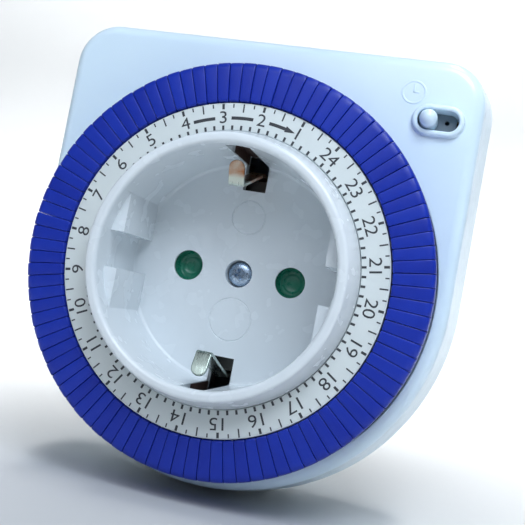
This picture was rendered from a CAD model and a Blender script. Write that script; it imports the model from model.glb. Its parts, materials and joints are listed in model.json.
# Plug-in timer switch: the looks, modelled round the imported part.
import bmesh
import bpy
import json
import math
from mathutils import Matrix, Vector


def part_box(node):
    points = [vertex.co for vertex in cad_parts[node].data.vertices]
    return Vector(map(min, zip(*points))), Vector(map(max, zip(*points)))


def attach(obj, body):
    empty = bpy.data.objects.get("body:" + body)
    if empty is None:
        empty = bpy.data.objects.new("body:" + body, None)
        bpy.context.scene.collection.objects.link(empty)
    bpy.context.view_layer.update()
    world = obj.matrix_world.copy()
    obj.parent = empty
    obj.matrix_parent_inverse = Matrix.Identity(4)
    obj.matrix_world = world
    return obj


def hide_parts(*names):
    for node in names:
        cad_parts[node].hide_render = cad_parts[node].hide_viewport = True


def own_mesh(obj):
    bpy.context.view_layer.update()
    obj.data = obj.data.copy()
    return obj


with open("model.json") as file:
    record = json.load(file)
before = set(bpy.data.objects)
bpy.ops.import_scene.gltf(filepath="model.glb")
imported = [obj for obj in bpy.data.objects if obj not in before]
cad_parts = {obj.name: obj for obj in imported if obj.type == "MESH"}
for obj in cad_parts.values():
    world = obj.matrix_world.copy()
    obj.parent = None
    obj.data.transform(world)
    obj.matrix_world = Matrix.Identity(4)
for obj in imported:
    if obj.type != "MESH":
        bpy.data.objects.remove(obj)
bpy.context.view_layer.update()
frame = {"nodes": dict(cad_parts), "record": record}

mm = 0.001
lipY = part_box("socket_insert")[0].y     # depths run from the socket's lip towards the wall
turn = 2 * math.pi
sameSpot = 0.001                        # points nearer than this are merged
onFace = 0.01                           # how far off its plane a picked point may lie


# Small helpers: places, selecting, editing

def spot(x, depth, z):
    return Vector((x * mm, lipY + depth * mm, z * mm))


def inMm(point):
    return Vector((point.x / mm, (point.y - lipY) / mm, point.z / mm))


def around(radius, angle):              # angle in degrees, counter-clockwise from +X as seen from the front
    return radius * math.cos(math.radians(angle)), radius * math.sin(math.radians(angle))


def clearSelection():
    if bpy.context.object and bpy.context.object.mode != "OBJECT":
        bpy.ops.object.mode_set(mode="OBJECT")
    bpy.ops.object.select_all(action="DESELECT")


def takeOnly(piece):
    clearSelection()
    piece.select_set(True)
    bpy.context.view_layer.objects.active = piece


def settle():                           # puts the object's place, turn and scale into its mesh
    bpy.ops.object.transform_apply(location=True, rotation=True, scale=True)


def setAll(target, settings):
    for name, value in settings.items():
        setattr(target, name, value)


def rename(piece, name):
    piece.name = name
    piece.data.name = name


def newPiece(name):                     # names what was just added and puts its place into its mesh
    piece = bpy.context.object
    rename(piece, name)
    takeOnly(piece)
    settle()
    return piece


def shift(piece, x, depth, z):          # moves the mesh and leaves its object at the origin
    takeOnly(piece)
    piece.location = (x * mm, depth * mm, z * mm)
    settle()


def applyModifier(piece, kind, settings):
    takeOnly(piece)
    bpy.ops.object.modifier_add(type=kind)
    setAll(piece.modifiers[-1], settings)
    bpy.ops.object.modifier_apply(modifier=piece.modifiers[-1].name)


def openMesh(piece):
    takeOnly(piece)
    bpy.ops.object.mode_set(mode="EDIT")
    bpy.ops.mesh.select_mode(type="FACE")
    bpy.ops.mesh.select_all(action="SELECT")


def closeMesh():
    bpy.ops.object.mode_set(mode="OBJECT")


def pick(piece, kind, test):            # selects elements whose corner points, in mm, pass the test
    bpy.ops.mesh.select_all(action="DESELECT")
    bpy.ops.mesh.select_mode(type=kind)
    mesh = bmesh.from_edit_mesh(piece.data)
    elements = {"VERT": mesh.verts, "EDGE": mesh.edges, "FACE": mesh.faces}[kind]
    for element in elements:
        corners = [element] if kind == "VERT" else element.verts
        if test([inMm(corner.co) for corner in corners]):
            element.select_set(True)
    bmesh.update_edit_mesh(piece.data)


def ringAt(radius, depth, centre=(0, 0), slack=0.03):
    def test(points):
        return all(abs(math.hypot(p.x - centre[0], p.z - centre[1]) - radius) < slack
                   and abs(p.y - depth) < slack for p in points)
    return test


def atDepth(depth):
    return lambda points: all(abs(p.y - depth) < onFace for p in points)


def move(x, depth, z):
    bpy.ops.transform.translate(value=(x * mm, depth * mm, z * mm))


def extrude(x, depth, z):
    bpy.ops.mesh.extrude_region_move(TRANSFORM_OT_translate={"value": (x * mm, depth * mm, z * mm)})


def stepFace(steps):                    # insets the picked face and carries it along, step by step
    for inward, travel in steps:
        bpy.ops.mesh.inset(thickness=inward * mm, use_even_offset=True)
        move(0, travel, 0)


def pickOpenEdges():
    bpy.ops.mesh.select_mode(type="EDGE")
    bpy.ops.mesh.select_all(action="DESELECT")
    bpy.ops.mesh.select_non_manifold()


def capEnds():                          # fills what is still open with flat faces
    pickOpenEdges()
    bpy.ops.mesh.edge_face_add()


def cleanMesh(piece):
    openMesh(piece)
    bpy.ops.mesh.remove_doubles(threshold=sameSpot * mm)
    bpy.ops.mesh.normals_make_consistent(inside=False)
    closeMesh()


def closeShell(piece):                  # makes the open mesh in hand a closed solid
    capEnds()
    closeMesh()
    cleanMesh(piece)


def pathFrom(name, path):               # a chain of points, drawn by extruding one point; left in edit mode
    clearSelection()
    bpy.ops.mesh.primitive_plane_add(size=mm, location=spot(*path[0]))
    piece = newPiece(name)
    openMesh(piece)
    bpy.ops.mesh.select_mode(type="VERT")
    bpy.ops.mesh.merge(type="CENTER")
    for before, after in zip(path, path[1:]):
        extrude(*[b - a for a, b in zip(before, after)])
    bpy.ops.mesh.select_all(action="SELECT")
    return piece


def lathe(name, profile, steps=160, sweep=360):
    piece = pathFrom(name, [(radius, depth, 0) for radius, depth in profile])
    bpy.ops.mesh.spin(steps=steps, angle=math.radians(sweep), center=(0, 0, 0), axis=(0, 1, 0))
    bpy.ops.mesh.select_all(action="SELECT")
    bpy.ops.mesh.remove_doubles(threshold=sameSpot * mm)
    if sweep < 360:
        capEnds()
    closeMesh()
    cleanMesh(piece)
    return piece


def arcBar(name, radii, depths, steps, first, last):    # runs round the dial from one angle to another
    (inner, outer), (front, back) = radii, depths
    piece = lathe(name, [(inner, front), (outer, front), (outer, back), (inner, back), (inner, front)],
                  steps, last - first)
    turnBy(piece, first)
    return piece


def rod(name, radius, front, back, at=(0, 0), sides=64):
    clearSelection()
    bpy.ops.mesh.primitive_cylinder_add(vertices=sides, radius=radius * mm, depth=(back - front) * mm,
                                        location=spot(at[0], (front + back) / 2, at[1]),
                                        rotation=(turn / 4, 0, 0))
    return newPiece(name)


def disc(name, radius, depth, sides, at=(0, 0), facing=-1):    # facing: -1 to the viewer, +1 to the wall
    clearSelection()
    bpy.ops.mesh.primitive_circle_add(vertices=sides, radius=radius * mm, fill_type="NGON",
                                      location=spot(at[0], depth, at[1]), rotation=(-facing * turn / 4, 0, 0))
    return newPiece(name)


def hoopOf(name, radius, line, centre, sides, lineSides, flat=1):      # a ring of round or flattened bar
    clearSelection()
    bpy.ops.mesh.primitive_torus_add(major_radius=radius * mm, minor_radius=line * mm, major_segments=sides,
                                     minor_segments=lineSides, rotation=(turn / 4, 0, 0))
    piece = newPiece(name)
    piece.scale = (1, flat, 1)
    piece.location = spot(*centre)
    settle()
    return piece


def block(name, x, depth, z):           # box from its X range, depth range and Z range
    clearSelection()
    bpy.ops.mesh.primitive_cube_add(size=1, location=spot(sum(x) / 2, sum(depth) / 2, sum(z) / 2),
                                    scale=[(span[1] - span[0]) * mm for span in (x, depth, z)])
    return newPiece(name)


def combine(piece, tools, operation):
    for tool in tools:
        applyModifier(piece, "BOOLEAN", {"operation": operation, "solver": "EXACT", "object": tool})
        bpy.data.objects.remove(tool)


def cutOut(piece, tools):
    combine(piece, tools, "DIFFERENCE")


def weld(piece, tools):
    combine(piece, tools, "UNION")


def joinInto(piece, others):
    takeOnly(piece)
    for other in others:
        other.select_set(True)
    bpy.ops.object.join()


def joinAll(name, pieces):
    joinInto(pieces[0], pieces[1:])
    rename(pieces[0], name)
    return pieces[0]


def copyOf(piece, name):
    takeOnly(piece)
    bpy.ops.object.duplicate()
    return newPiece(name)


def turnBy(piece, degrees):             # counter-clockwise about the dial's axis, as seen from the front
    takeOnly(piece)
    piece.rotation_euler = (0, -math.radians(degrees), 0)
    settle()


def flip(piece, x=1, z=1):
    takeOnly(piece)
    piece.scale = (x, 1, z)
    settle()
    cleanMesh(piece)


def soften(piece, width, segments, test, profile=0.5):
    openMesh(piece)
    pick(piece, "EDGE", test)
    bpy.ops.mesh.bevel(offset=width * mm, segments=segments, profile=profile, clamp_overlap=True)
    closeMesh()


def smooth(piece, angle=32):
    takeOnly(piece)
    bpy.ops.object.shade_smooth_by_angle(angle=math.radians(angle))
    applyModifier(piece, "WEIGHTED_NORMAL", {"keep_sharp": True})


def finish(piece, material, body, slot, *nodes):
    piece.data.materials.clear()
    piece.data.materials.append(material)
    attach(piece, body)
    if nodes:
        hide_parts(*nodes)


# Materials

def linear(hexColour):
    channels = [int(hexColour[i:i + 2], 16) / 255 for i in (1, 3, 5)]
    return [c / 12.92 if c <= 0.04045 else ((c + 0.055) / 1.055) ** 2.4 for c in channels] + [1]


def addNode(tree, kind, settings=None, inputs=None):
    node = tree.nodes.new("ShaderNode" + kind)
    setAll(node, settings or {})
    for name, value in (inputs or {}).items():
        if isinstance(value, bpy.types.NodeSocket):
            tree.links.new(value, node.inputs[name])
        else:
            node.inputs[name].default_value = value
    return node


def nodeOf(material, kind):             # the first node of a kind
    return [node for node in material.node_tree.nodes if node.bl_idname == "ShaderNode" + kind][0]


def surface(name, colour, darker, roughness, grainMm, bumpMm, patchMm, metallic=0, ior=1.5, spread=0.05,
            stretch=(1, 1, 1)):
    # one shader with a broad change of tone and gloss, and a fine grain in the normal
    material = bpy.data.materials.new(name)
    material.use_nodes = True
    tree = material.node_tree
    tree.nodes.clear()
    place = addNode(tree, "TexCoord").outputs["Object"]
    stretched = addNode(tree, "Mapping", None, {"Vector": place, "Scale": stretch}).outputs["Vector"]
    patches = addNode(tree, "TexNoise", None, {"Vector": place, "Scale": 1 / (patchMm * mm), "Detail": 3})
    grain = addNode(tree, "TexNoise", None, {"Vector": stretched, "Scale": 1 / (grainMm * mm), "Detail": 2})
    tone = addNode(tree, "Mix", {"data_type": "RGBA"}, {"Factor": patches.outputs["Fac"]})
    tone.inputs[6].default_value = linear(colour)
    tone.inputs[7].default_value = linear(darker)
    gloss = addNode(tree, "MapRange", None, {"Value": grain.outputs["Fac"], "From Min": 0.3, "From Max": 0.7,
                                             "To Min": roughness - spread, "To Max": roughness + spread})
    bump = addNode(tree, "Bump", None, {"Height": grain.outputs["Fac"], "Distance": bumpMm * mm,
                                        "Strength": 1.0})
    shader = addNode(tree, "BsdfPrincipled", None, {
        "Base Color": tone.outputs[2], "Roughness": gloss.outputs["Result"], "Normal": bump.outputs["Normal"],
        "Metallic": metallic, "IOR": ior})
    addNode(tree, "OutputMaterial", None, {"Surface": shader.outputs["BSDF"]})
    return material


def letLightIn(material, weight, radiusMm):
    shader = nodeOf(material, "BsdfPrincipled")
    shader.inputs["Subsurface Weight"].default_value = weight
    shader.inputs["Subsurface Radius"].default_value = [radius * mm for radius in radiusMm]


# Injection-moulded ABS, polished mould: bright, glossy, slightly cool, with a faint ripple in the reflections
whiteAbs = surface("whiteAbsMoulded", "#d9ecf8", "#d4e8f6", roughness=0.24, grainMm=1.6, bumpMm=0.004,
                   patchMm=14, ior=1.54, spread=0.03)
letLightIn(whiteAbs, 0.15, (1.2, 1.2, 1.3))

# The socket is moulded from PBT: harder and greyer than the case, its gloss almost even
socketPbt = surface("socketPbtMoulded", "#dfe6ea", "#d9e1e6", roughness=0.26, grainMm=4, bumpMm=0.001,
                    patchMm=16, ior=1.54, spread=0.03)

# The dial's ABS has a spark-eroded face: satin, so the printed numbers stay readable
dialAbs = surface("dialAbsSatin", "#d7dedd", "#cfd7d7", roughness=0.42, grainMm=0.5, bumpMm=0.006, patchMm=5,
                  ior=1.54)

# Grey ABS of the slider's flat plate: satin, and dark at the bottom of its slot
greyAbs = surface("greyAbsMoulded", "#788993", "#6c7b85", roughness=0.45, grainMm=0.8, bumpMm=0.006,
                  patchMm=2, ior=1.54)

# Blue ABS of the trippers: deep colour in the gaps, a pale sheen on the caps
blueAbs = surface("blueAbsMoulded", "#1b36a8", "#142790", roughness=0.36, grainMm=0.9, bumpMm=0.006,
                  patchMm=3)
nodeOf(blueAbs, "BsdfPrincipled").inputs["Specular IOR Level"].default_value = 0.26


def toneOf(material):                   # the tree, the socket that mixes both colours, the place's axes
    tree = material.node_tree
    place = nodeOf(material, "TexCoord").outputs["Object"]
    axes = addNode(tree, "SeparateXYZ", None, {"Vector": place})
    return tree, nodeOf(material, "Mix").inputs["Factor"], axes


def varyByTripper(material, pitch, first, share):   # each tripper comes from the mould in its own shade
    tree, mixing, axes = toneOf(material)
    angle = addNode(tree, "Math", {"operation": "ARCTAN2"}, {0: axes.outputs["Z"], 1: axes.outputs["X"]})
    count = addNode(tree, "Math", {"operation": "MULTIPLY_ADD"}, {
        0: angle.outputs[0], 1: 1 / math.radians(pitch), 2: 0.5 - first / pitch})
    whole = addNode(tree, "Math", {"operation": "FLOOR"}, {0: count.outputs[0]})
    shade = addNode(tree, "TexWhiteNoise", {"noise_dimensions": "1D"}, {"W": whole.outputs[0]})
    mixed = addNode(tree, "Mix", {"data_type": "FLOAT"}, {
        "Factor": share, "A": mixing.links[0].from_socket, "B": shade.outputs["Value"]})
    tree.links.new(mixed.outputs["Result"], mixing)


varyByTripper(blueAbs, pitch=3.75, first=70, share=0.4)

# Green nylon of the shutter: slightly translucent and soft in its gloss
greenNylon = surface("greenNylonMoulded", "#1f866a", "#176f57", roughness=0.3, grainMm=0.8, bumpMm=0.01,
                     patchMm=2, ior=1.53)
letLightIn(greenNylon, 0.1, (0.4, 0.8, 0.6))

# Pad-printed ink: dry and dark grey, a little uneven
padInk = surface("padPrintedInk", "#3a3d42", "#2d3035", roughness=0.55, grainMm=0.3, bumpMm=0.002,
                 patchMm=1.2)

# Blue-passivated zinc on the screws: a cool steel with a soft sparkle
zincPlate = surface("zincPlatedSteel", "#bccee2", "#9fb4ca", roughness=0.3, grainMm=0.25, bumpMm=0.006,
                    patchMm=0.8, metallic=1, spread=0.1)

# Nickel-plated bronze of the earth clips and pins: bright, with drawing lines along the strip
nickelPlate = surface("nickelPlatedBronze", "#dcd8cf", "#cfc6b8", roughness=0.2, grainMm=0.3, bumpMm=0.004,
                      patchMm=2, metallic=1, spread=0.06, stretch=(1, 0.08, 0.08))

# Where plugs rub the clips the nickel is worn: copper-brown on the upper one, dull silver on the lower
wornBronze = surface("wornNickelOnBronze", "#ccd2c6", "#a4683f", roughness=0.32, grainMm=0.3, bumpMm=0.002,
                     patchMm=1.8, metallic=1, spread=0.06, stretch=(1, 0.08, 0.08))


def wearFrom(material, low, high):              # the second colour takes over from one height to another
    tree, mixing, axes = toneOf(material)
    height = addNode(tree, "MapRange", {"interpolation_type": "SMOOTHSTEP"}, {
        "Value": axes.outputs["Z"], "From Min": low * mm, "From Max": high * mm, "To Min": 0, "To Max": 1.6})
    worn = addNode(tree, "Math", {"operation": "MULTIPLY", "use_clamp": True}, {
        0: height.outputs[0], 1: mixing.links[0].from_socket})
    tree.links.new(worn.outputs[0], mixing)


wearFrom(wornBronze, 14.8, 15.8)
dullNickel = surface("dullNickelOnBronze", "#b4c0b8", "#98a59c", roughness=0.28, grainMm=0.3, bumpMm=0.002,
                     patchMm=2, metallic=1, spread=0.06, stretch=(1, 0.08, 0.08))

# Stamped bronze of the clips' holders in the wall slots, gone brown and dull with age
agedBronze = surface("agedBronzeStrip", "#5e463c", "#44332e", roughness=0.55, grainMm=0.4, bumpMm=0.004,
                     patchMm=2, metallic=0.3)

# Rolled brass strip of the contacts: warm, with rolling lines
brassStrip = surface("rolledBrass", "#c9a45a", "#b58c42", roughness=0.3, grainMm=0.3, bumpMm=0.004, patchMm=3,
                     metallic=1, spread=0.08, stretch=(1, 0.1, 1))

# Natural nylon of the gears and levers: milky and waxy
naturalNylon = surface("naturalNylonMoulded", "#ddd8c8", "#d3ccb8", roughness=0.4, grainMm=0.6, bumpMm=0.006,
                       patchMm=4, ior=1.53)
letLightIn(naturalNylon, 0.3, (1.5, 1.2, 0.9))

# Black phenolic of the contact carrier: hard, dark and even
blackPhenolic = surface("blackPhenolicMoulded", "#1c1c1d", "#161617", roughness=0.38, grainMm=0.5,
                        bumpMm=0.006, patchMm=4, ior=1.6)

# Drawn and ground steel of the plate, springs and axles: grey, with fine lines along it
springSteel = surface("drawnSpringSteel", "#b4b9bf", "#a3a8ae", roughness=0.32, grainMm=0.3, bumpMm=0.004,
                      patchMm=3, metallic=1, spread=0.08, stretch=(1, 1, 0.1))

# Enamelled copper wire: glossy turns side by side, drawn 0.35 mm apart so that they show
copperWire = surface("enamelledCopperWire", "#b5653a", "#8f4824", roughness=0.28, grainMm=0.35, bumpMm=0.02,
                     patchMm=1, metallic=1, stretch=(0.05, 0.05, 1))

# Stamped core sheets, 0.5 mm thick, seen as lines along the stack
coreSteel = surface("stampedCoreSteel", "#84898f", "#6d7278", roughness=0.4, grainMm=0.5, bumpMm=0.03,
                    patchMm=2, metallic=1, stretch=(0.05, 1, 0.05))

# Sintered ferrite of the rotor: dark, dense and slightly grainy
ferrite = surface("sinteredFerrite", "#3a3c40", "#2c2e31", roughness=0.5, grainMm=0.25, bumpMm=0.01,
                  patchMm=1, metallic=0.4, ior=1.8)

# Extruded PVC sleeve of the two leads: black with a soft gloss
pvcSleeve = surface("extrudedPvcSleeve", "#25272b", "#1d1f22", roughness=0.42, grainMm=0.6, bumpMm=0.004,
                    patchMm=3, ior=1.53)
print("materials made")


# Front shell of the case

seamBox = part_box("front_housing")
caseShape = {
    "seamHalf": seamBox[1].x / mm,      # half width at the seam, where the case is widest
    "seamTop": seamBox[1].z / mm,
    "seamCorner": 9.2,
    "seam": 24.0,
    "front": 13.5,
    "frontLean": 1.45,                  # how far the side walls lean in up to the front's rounding
    "frontRound": 2.2,
    "roundSteps": 7,
    "wall": 2.0,
    "innerChamfer": 0.4,
    "seamGroove": 0.2,
}
dialRoom = {"hole": 34.82, "floor": 15.7, "back": 17.3, "bore": 25.3, "lipRound": 0.25,
            "wall": (35.3, 36.5), "wallFront": 14.4}


def caseOutline(name, depth, grow, facing):
    half = caseShape["seamHalf"] + grow
    piece = disc(name, half, depth, 192, facing=facing)
    openMesh(piece)
    bpy.ops.mesh.bisect(plane_co=(0, 0, 0), plane_no=(0, 0, 1), clear_outer=True)
    pick(piece, "EDGE", lambda points: all(abs(p.z) < 0.01 and abs(abs(p.x) - half) < 0.1 for p in points)
         and abs(points[0].x - points[1].x) > half)
    extrude(0, 0, caseShape["seamTop"] + grow)
    bpy.ops.mesh.select_all(action="SELECT")
    bpy.ops.mesh.dissolve_faces()
    pick(piece, "VERT", lambda points: points[0].z > half / 2)
    bpy.ops.mesh.bevel(offset=(caseShape["seamCorner"] + grow) * mm, segments=16, affect="VERTICES")
    pick(piece, "FACE", lambda points: True)
    return piece


def roundSteps(radius, count, facing):          # a quarter round, as inward and forward steps
    steps = []
    for i in range(count):
        a, b = (turn / 4 * k / count for k in (i, i + 1))
        inward = radius * (math.cos(a) - math.cos(b))
        steps.append((inward, facing * radius * (math.sin(b) - math.sin(a))))
    return steps


def caseHalf(name, end, lean, corner, facing):  # one half of the case, hollow, with a groove at the seam
    groove, wall, seam = caseShape["seamGroove"], caseShape["wall"], caseShape["seam"]
    shell = caseOutline(name, seam, -groove, facing)
    stepFace([(-groove, facing * groove), (lean, end - seam - facing * (corner + groove))])
    stepFace(roundSteps(corner, caseShape["roundSteps"], facing))
    closeShell(shell)
    chamfer = caseShape["innerChamfer"]
    room = caseOutline("room", seam - facing, -wall, facing)
    stepFace([(lean, end - seam + facing * (1 - wall - chamfer)), (chamfer, facing * chamfer)])
    closeShell(room)
    cutOut(shell, [room])
    return shell


frontShell = caseHalf("frontShell", caseShape["front"], caseShape["frontLean"], caseShape["frontRound"], -1)
trayFloor, trayBack, trayBore = dialRoom["floor"], dialRoom["back"], dialRoom["bore"]
wallIn, wallOut = dialRoom["wall"]
tray = lathe("tray", [(trayBore, trayFloor), (wallIn, trayFloor), (wallIn, dialRoom["wallFront"]),
                      (wallOut, dialRoom["wallFront"]), (wallOut, trayBack), (trayBore, trayBack),
                      (trayBore, trayFloor)])
weld(frontShell, [tray])
cutOut(frontShell, [rod("roomCutter", dialRoom["hole"], 12, trayFloor - 0.02, sides=160)])
soften(frontShell, dialRoom["lipRound"], 3, ringAt(dialRoom["hole"], caseShape["front"]))

switch = {
    "at": (30.1, 30.8), "length": 6.5, "width": 3.15,   # the slot
    "footWidth": 1.4, "footSunk": 0.05,                 # raised collar, its steps inward and forward
    "collarFoot": [(0.14, -0.06), (0.1, -0.1), (0.06, -0.16), (0.03, -0.2), (0.02, -0.23)],
    "collarRound": 0.35,
    "collarTop": [(0.25, 0), (0.05, 0.01), (0.1, 0.05), (0.07, 0.1), (0.03, 0.14), (0, 2.7)],
    "knob": 1.5, "knobShift": -1.6, "knobCentre": 12.0, "knobEnd": 15.7,
    "plate": (15.6, 17.0), "plateX": (-4.275, 3.025), "plateHalf": 2.3,
    "dimple": (1.45, 0.4), "dimpleRadius": 0.4,
    "plateRoom": (6.55, 2.4),                           # the slid plate runs into the side wall
}


def stadium(name, length, width, depth, at):
    piece = disc(name, width / 2, depth, 46, at)
    openMesh(piece)
    for side in (-1, 1):
        pick(piece, "VERT", lambda points: side * (points[0].x - at[0]) > 0)
        move(side * (length - width) / 2, 0, 0)
    pick(piece, "FACE", lambda points: True)
    return piece


def stadiumBar(name, length, width, front, back, at):
    piece = stadium(name, length, width, back, at)
    extrude(0, front - back, 0)
    closeShell(piece)
    return piece


slotPlace = slotX, slotZ = switch["at"]
slotLong, slotWide = switch["length"], switch["width"]
plateFront, plateBack = switch["plate"]
plateReach, plateSide = switch["plateRoom"]
sliderRoom = block("sliderRoom", (slotX, slotX + plateReach), (plateFront - 0.08, plateBack + 0.15),
                   (slotZ - plateSide, slotZ + plateSide))
cutOut(frontShell, [stadiumBar("slotCutter", slotLong + 1, slotWide + 1, 12, 16.2, slotPlace), sliderRoom])
footing = 2 * switch["footWidth"]
collar = stadium("collar", slotLong + footing, slotWide + footing,
                 caseShape["front"] + switch["footSunk"], slotPlace)
stepFace(switch["collarFoot"] + roundSteps(switch["collarRound"], 4, -1) + switch["collarTop"])
bpy.ops.mesh.delete(type="FACE")
pickOpenEdges()
bpy.ops.mesh.bridge_edge_loops()
closeMesh()
cleanMesh(collar)

clockMark = {"at": (25.3, 35.3), "radius": 1.9, "line": 0.2, "flat": 0.45,
             "handHalf": 0.13, "hourHand": 0.85, "minuteHand": 1.35, "proud": 0.08, "sunk": 0.1}
markDepth, (markX, markZ) = caseShape["front"], clockMark["at"]
raisedParts = [collar, hoopOf("markRing", clockMark["radius"], clockMark["line"], (markX, markDepth, markZ),
                             48, 10, clockMark["flat"])]
handHalf = clockMark["handHalf"]
handDepth = (markDepth - clockMark["proud"], markDepth + clockMark["sunk"])
for name, reachX, reachZ in (("hourHand", clockMark["hourHand"], handHalf),
                             ("minuteHand", handHalf, clockMark["minuteHand"])):
    hand = block(name, (markX - handHalf, markX + reachX), handDepth, (markZ - handHalf, markZ + reachZ))
    soften(hand, 0.06, 2, lambda points: all(p.y < markDepth for p in points))
    raisedParts.append(hand)
joinInto(frontShell, raisedParts)
smooth(frontShell)
finish(frontShell, whiteAbs, "root", "white_housing", "front_housing")
print("front shell made")


# Back shell with the plug body

plugShape = {
    "radius": 18.25, "half": 16.6, "ribHalf": 2.7, "flatHigh": 12, "back": 57.0, "round": 0.9,
    "stripZ": 16.7, "stripHalf": 2.6,
}
backShape = {"back": 39.0, "round": 1.7, "lean": 0.75, "seat": 35.0, "sink": 2.3,
             "sinkRound": 0.3, "boss": 3.4, "drill": 1.2}
screwPlaces = [(-32.5, 36.6), (32.5, 36.6), around(34.1, -45), around(34.1, -135)]

rearShell = caseHalf("rearShell", backShape["back"], backShape["lean"], backShape["round"], 1)

plugBody = rod("plugBody", plugShape["radius"], backShape["back"] - 1, plugShape["back"], sides=128)
flatDepth = (backShape["back"], plugShape["back"] + 1)
beyond = 20                             # cutters reach past the plug's rim
flatCutters = [block("flatCutter", sorted((sideX * plugShape["half"], sideX * beyond)), flatDepth,
                     sorted((sideZ * plugShape["ribHalf"], sideZ * plugShape["flatHigh"])))
               for sideX in (-1, 1) for sideZ in (-1, 1)]
flatCutters += [block("stripCutter", (-plugShape["stripHalf"], plugShape["stripHalf"]), flatDepth,
                      sorted((sideZ * plugShape["stripZ"], sideZ * beyond))) for sideZ in (-1, 1)]
cutOut(plugBody, flatCutters)
soften(plugBody, plugShape["round"], 4, atDepth(plugShape["back"]))


def atScrews(name, front, back, sides):
    return [rod(name, backShape[name], front, back, at, sides) for at in screwPlaces]


seam, back, seat = caseShape["seam"], backShape["back"], backShape["seat"]
weld(rearShell, [plugBody] + atScrews("boss", seam + 0.1, back - 1.5, 32))
cutOut(rearShell, atScrews("drill", seam - 1, seat + 1, 24) + atScrews("sink", seat, back + 1, 40))
for at in screwPlaces:
    soften(rearShell, backShape["sinkRound"], 2, ringAt(backShape["sink"], backShape["back"], at))

# posts of the mechanism plate and the motor, and the column of the middle screw
rotorAt = (-5.372, 30.053)
innerPosts = {
    "plate": {"radius": 1.5, "front": 24.7, "at": [(-31.0, 15.5), (-30.4, 27.8), (-2.0, 38.7)]},
    "motor": {"radius": 1.2, "front": 33.0,
              "at": [(rotorAt[0] + dx, rotorAt[1] + dz) for dx in (-4.6, 9.5) for dz in (-5, 5)]},
    "bearing": {"radius": 2.0, "front": 35.0, "at": [rotorAt]},
    "column": {"radius": 3.2, "front": 28.5, "at": [(0, 0)]},
}
postRound = 0.25
posts = []
for kind, post in innerPosts.items():
    for at in post["at"]:
        piece = rod(kind + "Post", post["radius"], post["front"], backShape["back"] - 1, at, sides=32)
        soften(piece, postRound, 2, ringAt(post["radius"], post["front"], at))
        posts.append(piece)
joinInto(rearShell, posts)
smooth(rearShell)
finish(rearShell, whiteAbs, "root", "white_housing", "rear_housing")
print("back shell made")


# Socket well

well = {
    "radius": 19.75, "floor": 17.5, "floorBack": 19.5, "tube": 22.9, "lipOut": 21.6,
    "coneEnd": 5.2, "corner": 0.6,
    "pinX": 9.5, "pinHole": 2.7, "pinRound": 0.22, "land": 0.55, "pinRoom": 3.5,
    "recess": 2.45, "recessBack": 20.2, "recessRound": 0.2, "screwBore": 1.3, "hub": 3.4, "hubBack": 21.5,
    "windowHalf": 2.1, "windowFront": 1.8, "windowBack": 18.4, "windowIn": 15.0, "windowOut": 21.5,
    "guideX": 17.15, "guideZ": 3.1, "guideFront": 3.8, "guideRound": 0.3,
}
wellR, wellFloor, corner = well["radius"], well["floor"], well["corner"]
lipOut = well["lipOut"]
wellProfile = [(0, wellFloor), (wellR - 4.5, wellFloor), (wellR - corner, wellFloor)]
wellProfile += [(wellR - corner * (1 - math.sin(a)), wellFloor - corner * (1 - math.cos(a)))
                for a in (turn / 16, turn / 8, turn * 3 / 16)]
wellProfile += [(wellR, wellFloor - corner), (wellR, 9), (wellR, 1.0), (wellR + 0.06, 0.62),
                (wellR + 0.2, 0.3), (wellR + 0.42, 0.08), (wellR + 0.7, 0), (lipOut - 0.6, 0),
                (lipOut - 0.3, 0.07), (lipOut - 0.1, 0.25), (lipOut, 0.55),
                (well["tube"], well["coneEnd"]), (well["tube"], 12), (well["tube"], well["floorBack"]),
                (0, well["floorBack"])]
socketWell = lathe("socketWell", wellProfile, steps=192)


def guideBlock(name):                           # a slice of a disc, bedded in the wall
    rim, face = wellR + 0.12, well["guideX"]
    piece = rod(name, rim, well["guideFront"], wellFloor + 0.4, sides=192)
    openMesh(piece)
    for place, normal in (((face, 0, 0), (1, 0, 0)), ((0, 0, well["guideZ"]), (0, 0, 1))):
        bpy.ops.mesh.select_all(action="SELECT")
        bpy.ops.mesh.bisect(plane_co=spot(*place), plane_no=normal, clear_inner=True, use_fill=True)
    closeMesh()

    def freeEdge(points):
        onBlock = [abs(p.x - face) < onFace for p in points]
        offRim = [abs(math.hypot(p.x, p.z) - rim) > 0.05 for p in points]
        return (atDepth(well["guideFront"])(points) and any(onBlock)
                and all(a or b for a, b in zip(onBlock, offRim)))
    soften(piece, well["guideRound"], 3, freeEdge)
    return piece


guides = []
for sideX in (-1, 1):
    for sideZ in (-1, 1):
        guide = guideBlock("guide")
        flip(guide, sideX, sideZ)
        guides.append(guide)
hub = rod("hub", well["hub"], well["floorBack"] - 0.3, well["hubBack"], sides=48)
weld(socketWell, guides + [hub])


def atBothPins(piece):
    pair = [piece, copyOf(piece, piece.name)]
    for side, one in zip((-1, 1), pair):
        shift(one, side * well["pinX"], 0, 0)
    return pair


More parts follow.
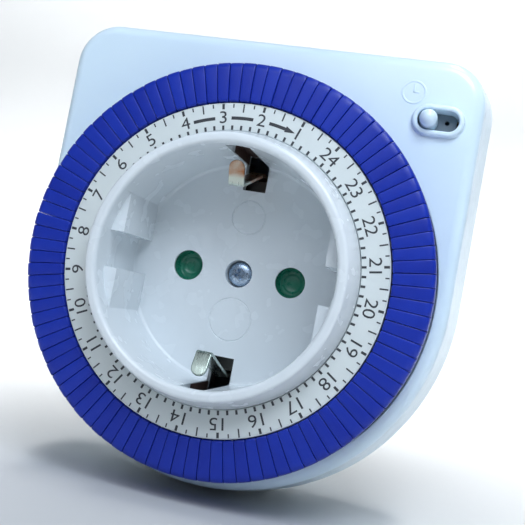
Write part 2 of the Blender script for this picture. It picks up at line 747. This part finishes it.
pinHole, pinRoom = well["pinHole"], well["pinRoom"]
landEnd = wellFloor + well["land"]              # a thin land round each hole, more room behind it
wellCutters = atBothPins(lathe("pinHole", [
    (0, 16), (pinHole, 16), (pinHole, landEnd), (pinRoom, landEnd + 0.25), (pinRoom, 21), (0, 21)], steps=56))
wellCutters.append(rod("recess", well["recess"], 16, well["recessBack"], sides=56))
wellCutters.append(rod("screwBore", well["screwBore"], 19, 23, sides=32))
for sideZ in (-1, 1):
    half, outer, wallDepth = well["windowHalf"], well["windowOut"], (well["windowFront"], well["windowBack"])
    wallPart = sorted((sideZ * (wellR - 1.2), sideZ * outer))
    floorPart = sorted((sideZ * well["windowIn"], sideZ * outer))
    wellCutters.append(block("wallWindow", (-half, half), wallDepth, wallPart))
    wellCutters.append(block("floorWindow", (-half, half), (wellFloor - 0.2, 21), floorPart))
mouldRings = [{"z": 10.2, "radius": 3.0}, {"z": -8.3, "radius": 3.8}]
ringLine = 0.14
wellCutters += [hoopOf("mouldRing", ring["radius"], ringLine, (0, wellFloor, ring["z"]), 72, 8)
                for ring in mouldRings]
cutOut(socketWell, wellCutters)
for side in (-1, 1):
    soften(socketWell, well["pinRound"], 3, ringAt(pinHole, wellFloor, (side * well["pinX"], 0)))
soften(socketWell, well["recessRound"], 3, ringAt(well["recess"], wellFloor))
smooth(socketWell)
finish(socketWell, socketPbt, "root", "white_housing", "socket_insert")
print("socket well made")


# Dial and its print

hourAngle, quarterAngle = 360 / 24, 360 / 96
dialShape = {
    "bore": 22.98, "face": 27.75, "depth": 5.5, "thick": 1.8, "sleeve": 25.0, "neck": 26.3, "hoop": 33.2,
    "trough": (9.5, 11.3), "end": 19.8, "legRadius": 31.0, "legRoom": (0.95, 0.7), "rest": 55.0,
}
faceDepth, faceR, bore = dialShape["depth"], dialShape["face"], dialShape["bore"]
faceBack = faceDepth + dialShape["thick"]
hoop, neck, sleeve = dialShape["hoop"], dialShape["neck"], dialShape["sleeve"]
troughTop, troughBack = dialShape["trough"]
dialFace = lathe("dialFace", [
    (bore, faceDepth + 0.2), (bore + 0.12, faceDepth), (faceR - 0.25, faceDepth),
    (faceR - 0.07, faceDepth + 0.06),
    (faceR, faceDepth + 0.25), (faceR, troughTop), (hoop, troughTop), (hoop, troughBack), (neck, troughBack),
    (neck, faceBack), (sleeve, faceBack), (sleeve, dialShape["end"]), (bore, dialShape["end"]),
    (bore, faceDepth + 0.2)], steps=192)
legRadial, legSide = dialShape["legRoom"]
legHalfAngle = math.degrees(math.asin(legSide / dialShape["legRadius"]))
legRadii = (dialShape["legRadius"] - legRadial, dialShape["legRadius"] + legRadial)
legCutters = []
for hour in range(24):                          # one curved slot takes the legs of an hour's four trippers
    first = dialShape["rest"] + hourAngle * hour
    legCutters.append(arcBar("legCutter", legRadii, (troughTop - 1, troughBack + 1), 6, first - legHalfAngle,
                             first + hourAngle - quarterAngle + legHalfAngle))
legCutter = joinAll("legCutters", legCutters)
cleanMesh(legCutter)
cutOut(dialFace, [legCutter])
smooth(dialFace)
finish(dialFace, dialAbs, "dial", "white_dial", "dial_ring")

printing = {
    "numberRadius": 25.15, "numberHeight": 2.05, "numberStretch": 1.14, "proud": 0.02, "sunk": 0.03,
    "hourTick": (26.6, 27.5, 0.42), "quarterTick": (26.85, 27.5, 0.22), "halfTick": (26.1, 27.5, 0.24),
    "collarTick": (23.1, 23.85, 0.38), "barWidth": 0.55, "barRadius": 25.1, "barEnd": 3.2, "arrow": 0.85,
    "arrowWide": 0.527,
}
inkFront, inkBack = faceDepth - printing["proud"], faceDepth + printing["sunk"]


def inkBar(name, inner, outer, width, angle):   # a short bar that points outwards
    piece = block(name, (inner, outer), (inkFront, inkBack), (-width / 2, width / 2))
    turnBy(piece, angle)
    return piece


def inkNumber(text, angle):
    clearSelection()
    bpy.ops.object.text_add()
    letters = bpy.context.object
    setAll(letters.data, {                      # a digit is 0.7 of the type's size
        "body": text, "align_x": "CENTER", "align_y": "CENTER", "size": printing["numberHeight"] / 0.7 * mm,
        "space_character": 0.95, "resolution_u": 3, "extrude": (inkBack - inkFront) / 2 * mm})
    takeOnly(letters)
    bpy.ops.object.convert(target="MESH")
    piece = bpy.context.object
    x, z = around(printing["numberRadius"], angle)
    piece.scale = (printing["numberStretch"], 1, 1)
    piece.rotation_euler = (turn / 4, 0, 0)
    settle()
    piece.rotation_euler = (0, -math.radians(angle - 90), 0)
    piece.location = spot(x, (inkFront + inkBack) / 2, z)
    return newPiece("ink" + text)


inkPieces = [inkNumber(str(n), dialShape["rest"] + hourAngle * n) for n in range(1, 25)]
for quarter in range(96):
    angle = dialShape["rest"] + quarterAngle * quarter
    kind = "hourTick" if quarter % 4 == 0 else "halfTick" if quarter % 4 == 2 else "quarterTick"
    inkPieces.append(inkBar("tick", *printing[kind], angle))
    inkPieces.append(inkBar("collarTick", *printing["collarTick"], angle))


# bars between the first four numbers, and the arrow's head at the end next to the 1
barRadius, barEnd = printing["barRadius"], printing["barEnd"]
barRadii = (barRadius - printing["barWidth"] / 2, barRadius + printing["barWidth"] / 2)
for lower in (1, 2, 3):
    first = dialShape["rest"] + hourAngle * lower
    inkPieces.append(arcBar("inkArc", barRadii, (inkFront, inkBack), 8, first + barEnd,
                            first + hourAngle - barEnd))
headLong, headWide = printing["arrow"], printing["arrowWide"]
arrowHead = block("arrowHead", (barRadius - headWide, barRadius + headWide), (inkFront - 0.005, inkBack),
                  (-headLong, headLong))
openMesh(arrowHead)
pick(arrowHead, "VERT", lambda points: points[0].z < 0)
bpy.ops.transform.resize(value=(0.05, 1, 1), center_override=spot(barRadius, inkFront, 0))
closeMesh()
turnBy(arrowHead, dialShape["rest"] + hourAngle + barEnd)
dialPrint = joinAll("dialPrint", inkPieces + [arrowHead])
cleanMesh(dialPrint)
finish(dialPrint, padInk, "dial", "white_dial")
print("dial made")


# The 96 trippers, four to an hour

tripper = {
    "inner": 27.9, "outer": 34.65, "top": 4.9, "capBack": 6.5, "skirtEnd": 13.1, "skirtIn": 33.45,
    "gap": 0.03, "edge": 0.22,
    "leg": (30.25, 31.75, 1.0, 11.6),
    "stagger": (0.0, 0.1, 0.03, 0.14),      # how far each of the four sits back from the first
}


def tripperBlank():
    inner, outer, top = tripper["inner"], tripper["outer"], tripper["top"]
    capBack, skirtIn, skirtEnd = tripper["capBack"], tripper["skirtIn"], tripper["skirtEnd"]
    wide = quarterAngle - math.degrees(tripper["gap"] / dialShape["legRadius"])
    outline = [(inner, top + 0.45), (inner + 0.12, top + 0.12), (inner + 0.4, top), (outer - 1.4, top),
               (outer - 0.8, top + 0.06), (outer - 0.38, top + 0.24), (outer - 0.12, top + 0.54),
               (outer, top + 1.0), (outer, skirtEnd), (skirtIn, skirtEnd), (skirtIn, capBack),
               (inner, capBack), (inner, top + 0.45)]
    piece = lathe("tripper", outline, steps=2, sweep=wide)
    turnBy(piece, -wide / 2)
    halfWide = math.radians(wide / 2)

    def sideEdge(points):                       # the outer edges of both sides, on the cap and down the skirt
        a, b = points
        onSide = [abs(abs(math.atan2(p.z, p.x)) - halfWide) < 0.0005 for p in points]
        outside = [p.y < skirtEnd - 0.1 and (p.y < top + 2.0 or p.x > outer * 0.99) for p in points]
        return all(onSide + outside) and a.z * b.z > 0 and abs(a.y - b.y) + abs(a.x - b.x) > onFace
    soften(piece, tripper["edge"], 2, sideEdge)
    legIn, legOut, width, end = tripper["leg"]
    leg = block("leg", (legIn, legOut), (capBack - 0.1, end), (-width / 2, width / 2))
    joinInto(piece, [leg])
    return piece


firstTripper = tripperBlank()
hourSet = [firstTripper] + [copyOf(firstTripper, "tripper") for quarter in range(3)]
for quarter, piece in enumerate(hourSet):
    turnBy(piece, dialShape["rest"] + hourAngle + quarter * quarterAngle)
    shift(piece, 0, tripper["stagger"][quarter], 0)
firstHour = joinAll("tripperHour", hourSet)
smooth(firstHour, 40)
hourPieces = [firstHour] + [copyOf(firstHour, "tripperHour") for hour in range(23)]
for index, piece in enumerate(hourPieces):
    turnBy(piece, hourAngle * index)
    number = f"{index + 1:02d}"
    rename(piece, "tripperHour" + number)
    finish(piece, blueAbs, "trip_" + number, "blue_tripper", "tripper_hour_" + number)
print("trippers made")


# Shutter behind the contact holes

shutterShape = {"depth": (19.65, 21.35), "lobe": 3.5, "lobeX": well["pinX"], "hub": 5.4, "arm": 2.0,
                "bore": 3.46, "dish": [(0, 20.7), (1.1, 20.65), (1.55, 20.5), (1.75, 20.32), (2.1, 20.27),
                                       (2.35, 20.1), (2.5, 19.8), (2.56, 19.64), (2.56, 19.2), (0, 19.2)]}
lobeX, armHalf, shutterDepth = shutterShape["lobeX"], shutterShape["arm"], shutterShape["depth"]
shutter = rod("shutterPlate", shutterShape["hub"], *shutterDepth)
lobes = [rod("lobe", shutterShape["lobe"], *shutterDepth, (side * lobeX, 0)) for side in (-1, 1)]
arm = block("arm", (-lobeX, lobeX), shutterDepth, (-armHalf, armHalf))
weld(shutter, lobes + [arm])
dishes = atBothPins(lathe("dish", shutterShape["dish"], steps=64))     # each with a step round its middle
cutOut(shutter, [rod("hubBore", shutterShape["bore"], 19, 22)] + dishes)
smooth(shutter, 25)
finish(shutter, greenNylon, "shutter", "green_shutter", "shutter")
print("shutter made")


# Screws

screwShape = {"head": 2.2, "front": 18.5, "back": 20.2, "shank": 1.2, "shankEnd": 36.0,
              "cross": (1.25, 0.3), "crossEnd": 0.95, "taper": (0.55, 1, 0.8), "turned": 20}
caseScrewShape = {"head": 2.1, "shank": 1.1, "end": 19.0,
                  "cross": (1.1, 0.28), "crossFrom": 0.8, "taper": (1, 1, 1), "turned": 15}


def crossCutters(shape, front, back):           # two crossed bars, narrower at the back
    halfLong, halfWide = shape["cross"]
    cutters = []
    for quarter in (0, 90):
        piece = block("cross", (-halfLong, halfLong), (front, back), (-halfWide, halfWide))
        openMesh(piece)
        pick(piece, "VERT", lambda points: points[0].y > back - onFace)
        bpy.ops.transform.resize(value=shape["taper"], center_override=spot(0, back, 0))
        closeMesh()
        turnBy(piece, shape["turned"] + quarter)
        cutters.append(piece)
    return cutters


head, headFront, headBack = screwShape["head"], screwShape["front"], screwShape["back"]
shank, screwEnd = screwShape["shank"], screwShape["shankEnd"]
centreScrew = lathe("centreScrew", [
    (0, headFront), (head * 0.45, headFront + 0.03), (head * 0.75, headFront + 0.12),
    (head * 0.93, headFront + 0.32), (head, headFront + 0.6), (head, headBack), (shank, headBack),
    (shank, screwEnd), (0, screwEnd)], steps=64)
cutOut(centreScrew, crossCutters(screwShape, headFront - 1, headFront + screwShape["crossEnd"]))
smooth(centreScrew, 30)
finish(centreScrew, zincPlate, "root", "zinc_screw", "centre_screw")

head, shank, screwEnd = caseScrewShape["head"], caseScrewShape["shank"], caseScrewShape["end"]
caseScrew = lathe("caseScrew", [
    (0, seat + 1.6), (1.0, seat + 1.58), (1.6, seat + 1.45), (2.0, seat + 1.15), (head, seat + 0.8),
    (head, seat), (shank, seat), (shank, screwEnd + 0.2), (0.7, screwEnd), (0, screwEnd)], steps=40)
cutOut(caseScrew, crossCutters(caseScrewShape, seat + caseScrewShape["crossFrom"], seat + 3))
caseScrews = [caseScrew] + [copyOf(caseScrew, "caseScrew") for at in screwPlaces[1:]]
for piece, at in zip(caseScrews, screwPlaces):
    shift(piece, at[0], 0, at[1])
caseScrewSet = joinAll("caseScrewSet", caseScrews)
smooth(caseScrewSet, 30)
finish(caseScrewSet, zincPlate, "root", "zinc_screw", "case_screws")
print("screws made")


# Earth clips

clip = {"width": 2.7, "thick": 0.6, "legZ": 18.3, "noseZ": 14.1, "noseDepth": 5.6, "noseRound": 0.55,
        "legEnd": 35.8, "floor": 18.5, "tip": (3.4, 17.8), "tipCurl": 0.25, "tipRound": 1.3, "edge": 0.18}


def clipPath():                                 # up the leg, round the nose and out to the free tip
    lean = math.degrees(math.atan2(clip["legZ"] - clip["noseZ"], clip["floor"] - clip["noseDepth"]))
    bend = clip["noseRound"]
    centre = (clip["noseDepth"], clip["noseZ"] + bend)
    tip = clip["tip"]
    rise = math.atan2(centre[0] - tip[0], tip[1] - centre[1]) - math.asin(bend / math.dist(centre, tip))
    first, last = 270 + lean, 180 + math.degrees(rise)
    path = [(clip["legEnd"], clip["legZ"]), (clip["floor"], clip["legZ"])]
    for i in range(8):
        angle = math.radians(first + (last - first) * i / 7)
        path.append((centre[0] + bend * math.cos(angle), centre[1] + bend * math.sin(angle)))
    straight = [path[-1][k] + 0.55 * (tip[k] - path[-1][k]) for k in (0, 1)]
    return path + [straight, (tip[0] + clip["tipCurl"], tip[1])]


def earthClip(name, side, material, node):
    piece = pathFrom(name, [(-clip["width"] / 2, depth, z) for depth, z in clipPath()])
    extrude(clip["width"], 0, 0)
    pick(piece, "VERT", lambda points: points[0].y < clip["tip"][0] + clip["tipCurl"] + 0.01
         and points[0].z > clip["tip"][1] - 0.01)
    bpy.ops.mesh.bevel(offset=clip["tipRound"] * mm, segments=6, affect="VERTICES")
    closeMesh()
    applyModifier(piece, "SOLIDIFY",
                  {"thickness": clip["thick"] * mm, "offset": 0, "use_even_offset": True})
    applyModifier(piece, "BEVEL",
                  {"width": clip["edge"] * mm, "segments": 3, "angle_limit": math.radians(50)})
    cleanMesh(piece)
    if side < 0:
        flip(piece, 1, -1)
    smooth(piece, 45)
    finish(piece, material, "root", "nickel_plate", node)


earthClip("earthClipTop", 1, wornBronze, "earth_clip_top")
earthClip("earthClipBottom", -1, dullNickel, "earth_clip_bottom")

holder = {"half": 2.06, "thick": 0.12, "depth": (8.0, 18.2), "z": (19.75, 21.44), "edge": 0.03}


def clipHolder(name, side):                     # a U of strip that lines the slot in the well's wall
    low = holder["z"][0]
    front, back = holder["depth"]

    def openSide(points):
        return all(p.z < low + onFace for p in points)
    piece = block(name, (-holder["half"], holder["half"]), holder["depth"], holder["z"])
    openMesh(piece)
    pick(piece, "FACE", lambda points: openSide(points) or atDepth(front)(points) or atDepth(back)(points))
    bpy.ops.mesh.delete(type="FACE")
    closeMesh()
    applyModifier(piece, "SOLIDIFY", {"thickness": holder["thick"] * mm, "offset": -1})
    cleanMesh(piece)
    soften(piece, holder["edge"], 2, openSide)
    if side < 0:
        flip(piece, 1, -1)
    smooth(piece)
    finish(piece, agedBronze, "root", "nickel_plate")


clipHolder("clipHolderTop", 1)
clipHolder("clipHolderBottom", -1)
print("earth clips made")


# Override switch

knobX, knobR = slotX + switch["knobShift"], switch["knob"]
plateLeft, plateRight = switch["plateX"]
plateHalf = switch["plateHalf"]
dimpleX, dimpleZ = switch["dimple"]
slider = block("overrideSlider", (slotX + plateLeft, slotX + plateRight), (plateFront, plateBack),
               (slotZ - plateHalf, slotZ + plateHalf))
cutOut(slider, [rod("dimple", switch["dimpleRadius"], plateFront - 0.6, plateBack + 1,
                    (slotX + dimpleX, slotZ + dimpleZ), sides=24)])
domeCentre, knobEnd = switch["knobCentre"], switch["knobEnd"]
knobProfile = [(0, domeCentre - knobR)]
knobProfile += [(knobR * math.sin(a), domeCentre - knobR * math.cos(a)) for a in
                (turn / 4 * i / 8 for i in range(1, 9))]
knobProfile += [(knobR, knobEnd), (0, knobEnd)]
knob = lathe("knob", knobProfile, steps=48)
shift(knob, knobX, 0, slotZ)
joinInto(slider, [knob])
smooth(slider, 35)
finish(slider, whiteAbs, "override", "white_housing", "override_slider")
slider.data.materials.append(greyAbs)
openMesh(slider)
pick(slider, "FACE", lambda points: all(p.y > plateFront - onFace for p in points)
     and any(p.x > knobX + knobR + 0.1 for p in points))
slider.active_material_index = 1
bpy.ops.object.material_slot_assign()
closeMesh()
print("override switch made")


# Plug pins and earth strips

pinShape = {"radius": 2.4, "shank": 2.0, "head": 3.4, "tip": 76.0, "headFront": 38.2}
tip, radius, shank = pinShape["tip"], pinShape["radius"], pinShape["shank"]
head, headFront, headBack = pinShape["head"], pinShape["headFront"], backShape["back"]
plugEnd = plugShape["back"]
for name, side, node in (("neutralPin", -1, "neutral_pin"), ("linePin", 1, "line_pin")):
    piece = lathe(name, [
        (0, headFront), (head, headFront), (head, headBack), (shank, headBack), (shank, plugEnd),
        (radius - 0.1, plugEnd), (radius, plugEnd + 0.15), (radius, tip - 1.5), (radius - 0.12, tip - 1.05),
        (radius - 0.45, tip - 0.5), (radius - 0.95, tip - 0.12), (radius - 1.4, tip), (0, tip)], steps=56)
    shift(piece, side * well["pinX"], 0, 0)
    smooth(piece, 30)
    finish(piece, nickelPlate, "root", "nickel_plate", node)

stripShape = {"half": 2.5, "z": (16.7, 17.5), "depth": (36.6, 56.4), "edge": 0.3}
stripTop = stripShape["z"][1]
plugStrips = block("plugEarthStrips", (-stripShape["half"], stripShape["half"]), stripShape["depth"],
                   stripShape["z"])
soften(plugStrips, stripShape["edge"], 3, lambda points: all(p.z > stripTop - onFace for p in points))
lowerStrip = copyOf(plugStrips, "lowerStrip")
flip(lowerStrip, 1, -1)
joinInto(plugStrips, [lowerStrip])
smooth(plugStrips, 30)
finish(plugStrips, nickelPlate, "root", "nickel_plate", "plug_earth_strips")
print("plug pins made")


# Springs, which shorten with the lever or shutter that presses them

springs = {
    "shutterSpring": {"node": "shutter_spring", "coil": 0.55, "wire": 0.14, "turns": 7,
                      "joint": "shutter_turn", "heldAt": 0, "keep": 0.3},
    "followerSpring": {"node": "follower_spring", "coil": 0.8, "wire": 0.15, "turns": 4,
                       "joint": "follower_tilt", "heldAt": 1, "keep": 0.82},
}
stepsPerTurn = 12
for name, spring in springs.items():
    ends = [inMm(corner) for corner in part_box(spring["node"])]
    centre = (ends[0] + ends[1]) / 2
    low, high = ends[0].z + spring["wire"], ends[1].z - spring["wire"]
    count = stepsPerTurn * spring["turns"]
    path = []
    for i in range(count + 1):
        x, across = around(spring["coil"], i * 360 / stepsPerTurn)
        path.append((centre.x + x, centre.y + across, low + (high - low) * i / count))
    pathFrom(name, path)
    closeMesh()
    bpy.ops.object.convert(target="CURVE")
    setAll(bpy.context.object.data,
           {"bevel_depth": spring["wire"] * mm, "bevel_resolution": 1, "use_fill_caps": True})
    bpy.ops.object.convert(target="MESH")
    piece = newPiece(name)
    cleanMesh(piece)
    smooth(piece, 60)
    finish(piece, springSteel, "root", "spring_steel", spring["node"])
    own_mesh(piece)
print("springs made")


# Works inside the case keep their own shapes

innerFinish = {
    "natural_nylon": naturalNylon, "black_phenolic": blackPhenolic, "contact_brass": brassStrip,
    "nickel_plate": nickelPlate, "spring_steel": springSteel, "zinc_screw": zincPlate,
    "copper_winding": copperWire, "core_steel": coreSteel, "ferrite_rotor": ferrite,
    "lead_sleeve": pvcSleeve, "white_housing": whiteAbs, "white_dial": dialAbs, "blue_tripper": blueAbs,
    "green_shutter": greenNylon,
}
for part in frame["record"]["subparts"]:
    node = frame["nodes"][part["node"]]
    for place in node.material_slots:
        place.material = innerFinish[part["material_slot"]]
print("inner works finished")


# Studio: pale floor, soft light, camera

studio = {
    "floorZ": -39.1, "halfWidth": 900, "near": -700, "far": 250, "bend": 180, "height": 900,
    "floorColour": "#c9cbcc", "floorDarker": "#c6c8c9", "worldColour": "#e4f0ff", "worldStrength": 0.16,
}
floorZ, half, bend = studio["floorZ"], studio["halfWidth"], studio["bend"]
sweepPath = [(-half, studio["near"], floorZ)]
for i in range(13):                             # the floor bends up into the backdrop
    a = turn / 4 * i / 12
    sweepPath.append((-half, studio["far"] + bend * math.sin(a), floorZ + bend * (1 - math.cos(a))))
sweepPath.append((-half, studio["far"] + bend, studio["height"]))
sweep = pathFrom("studioSweep", sweepPath)
extrude(2 * half, 0, 0)
closeMesh()
smooth(sweep, 60)
# Painted board of the studio floor: pale and quite matt
paleFloor = surface("mattPaintedBoard", studio["floorColour"], studio["floorDarker"], roughness=0.9,
                    grainMm=4, bumpMm=0.001, patchMm=60, ior=1.3)
sweep.data.materials.append(paleFloor)

world = bpy.context.scene.world or bpy.data.worlds.new("studioWorld")
bpy.context.scene.world = world
world.use_nodes = True
world.node_tree.nodes.clear()
sky = addNode(world.node_tree, "Background", None, {"Color": linear(studio["worldColour"]),
                                                    "Strength": studio["worldStrength"]})
addNode(world.node_tree, "OutputWorld", None, {"Surface": sky.outputs["Background"]})


def softLight(name, place, aim, size, power, colour="#ffffff", spread=180):
    clearSelection()
    bpy.ops.object.light_add(type="AREA", location=[c * mm for c in place])
    light = bpy.context.object
    light.name = name
    setAll(light.data, {"shape": "RECTANGLE", "size": size[0] * mm, "size_y": size[1] * mm, "energy": power,
                        "color": linear(colour)[:3], "spread": math.radians(spread)})
    direction = Vector(aim) * mm - light.location
    light.rotation_euler = direction.to_track_quat("-Z", "Y").to_euler()


softLight("windowLight", (80, -200, 190), (0, -40, 5), (115, 115), 0.48, "#e8f3ff")
softLight("frontLight", (0, -250, 125), (0, -50, 0), (160, 60), 0.12, "#eef4ff")
# narrow beams on the floor, left, right and behind, so that none strikes the object from above
for name, x, y, size, power in (("leftFloorLight", -290, 90, (460, 620), 1.5),
                                ("rightFloorLight", 252, 90, (400, 620), 1.12),
                                ("rearFloorLight", -4, 245, (112, 380), 0.22)):
    softLight(name, (x, y, 300), (x, y + 1, 0), size, power, spread=32)
softLight("backdropLight", (0, 160, 420), (0, 420, 150), (900, 200), 1.75, spread=100)

camera = {"place": (36.98, -180.93, -4.88), "aim": (4.89, -43.5, 2.51), "roll": 10.57, "lens": 56.23}
clearSelection()
bpy.ops.object.camera_add(location=[c * mm for c in camera["place"]])
photographer = bpy.context.object
setAll(photographer.data, {"lens": camera["lens"], "sensor_width": 36, "clip_start": 0.005})
lookAlong = (Vector(camera["aim"]) - Vector(camera["place"])).normalized()
level = lookAlong.to_track_quat("-Z", "Y").to_matrix()
tilted = Matrix.Rotation(-math.radians(camera["roll"]), 3, lookAlong) @ level
photographer.rotation_euler = tilted.to_euler()
bpy.context.scene.camera = photographer
bpy.context.scene.view_settings.view_transform = "Standard"
print("studio set")
